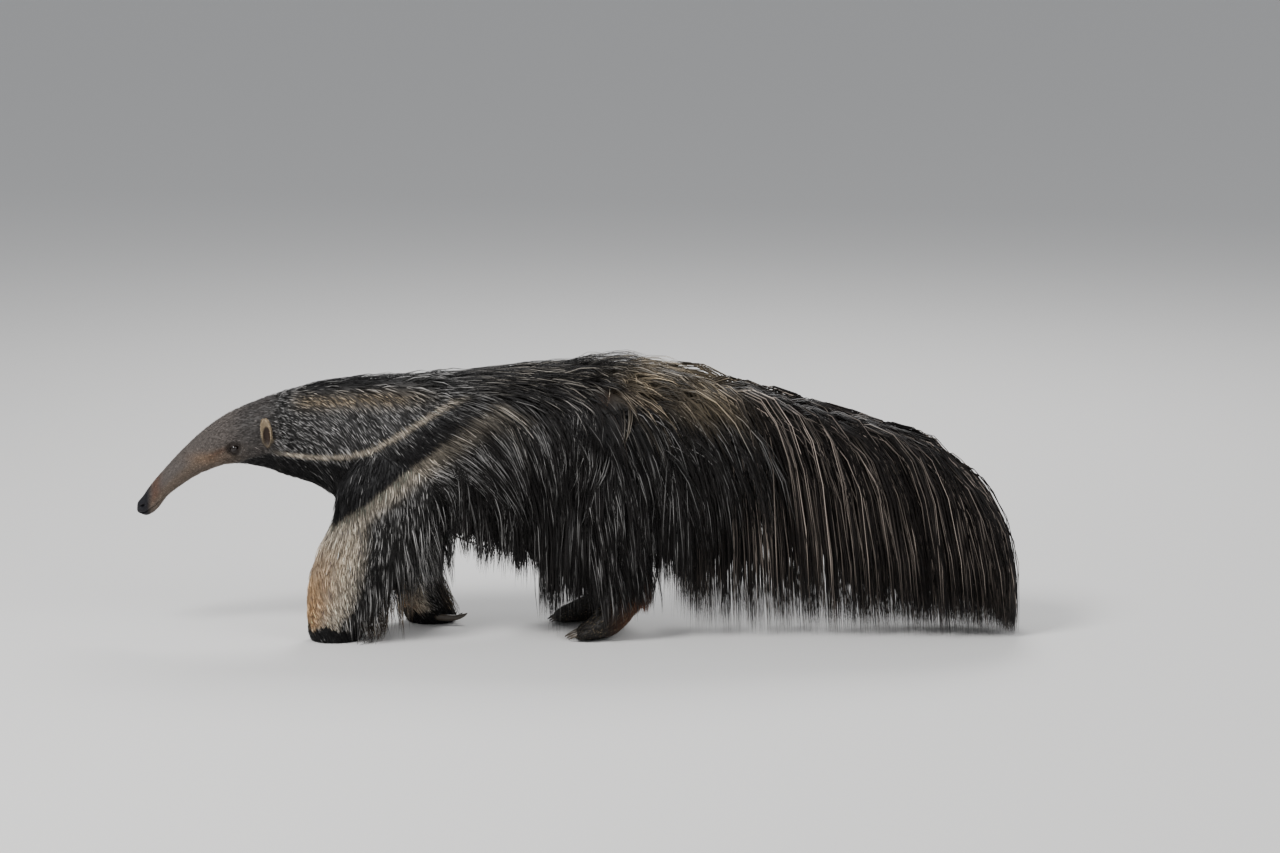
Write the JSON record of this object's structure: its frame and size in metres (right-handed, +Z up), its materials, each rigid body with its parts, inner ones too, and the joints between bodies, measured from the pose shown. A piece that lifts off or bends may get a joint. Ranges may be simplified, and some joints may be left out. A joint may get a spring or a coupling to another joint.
{
  "type": "giant anteater",
  "caption": "Life-size giant anteater walking with its long snout held low, a broad banded shoulder and a curtain of long hair on its tail.",
  "frame": {"origin": "centre of the underside of the whole model's box, on the floor it stands on", "axes": "+X towards the tail's end, +Y towards the animal's right side, +Z up; the snout points along -X"},
  "size_m": [1.869, 0.3276, 0.6157],
  "materials": {
    "coat_head": "short grizzled fur, greyish brown",
    "coat_neck": "short coarse fur, salt and pepper grey over black",
    "coat_body": "long coarse hair, black with fine grey streaks",
    "coat_tail": "very long stringy hair, dark brown with grey-brown streaks",
    "coat_foreleg": "short fur, cream in front and grey behind",
    "coat_foot": "short black fur",
    "ear": "thin skin under short tan fur",
    "eye": "wet and dark",
    "claw": "worn dark horn"
  },
  "bodies": {
    "root": {"head": "coat_head", "neck": "coat_neck", "torso": "coat_body", "tail": "coat_tail", "eye_left": "eye", "eye_right": "eye", "ear_left": "ear", "ear_right": "ear", "foreleg_left": "coat_foreleg", "foreleg_right": "coat_foreleg", "forefoot_left": "coat_foot", "forefoot_right": "coat_foot", "hindleg_left": "coat_body", "hindleg_right": "coat_body", "hindfoot_left": "coat_foot", "hindfoot_right": "coat_foot", "claw_forefoot_left_2": "claw", "claw_forefoot_left_3": "claw", "claw_forefoot_left_4": "claw", "claw_forefoot_right_2": "claw", "claw_forefoot_right_3": "claw", "claw_forefoot_right_4": "claw", "claw_hindfoot_left_1": "claw", "claw_hindfoot_left_2": "claw", "claw_hindfoot_left_3": "claw", "claw_hindfoot_left_4": "claw", "claw_hindfoot_left_5": "claw", "claw_hindfoot_right_1": "claw", "claw_hindfoot_right_2": "claw", "claw_hindfoot_right_3": "claw", "claw_hindfoot_right_4": "claw", "claw_hindfoot_right_5": "claw"}
  },
  "joints": []
}
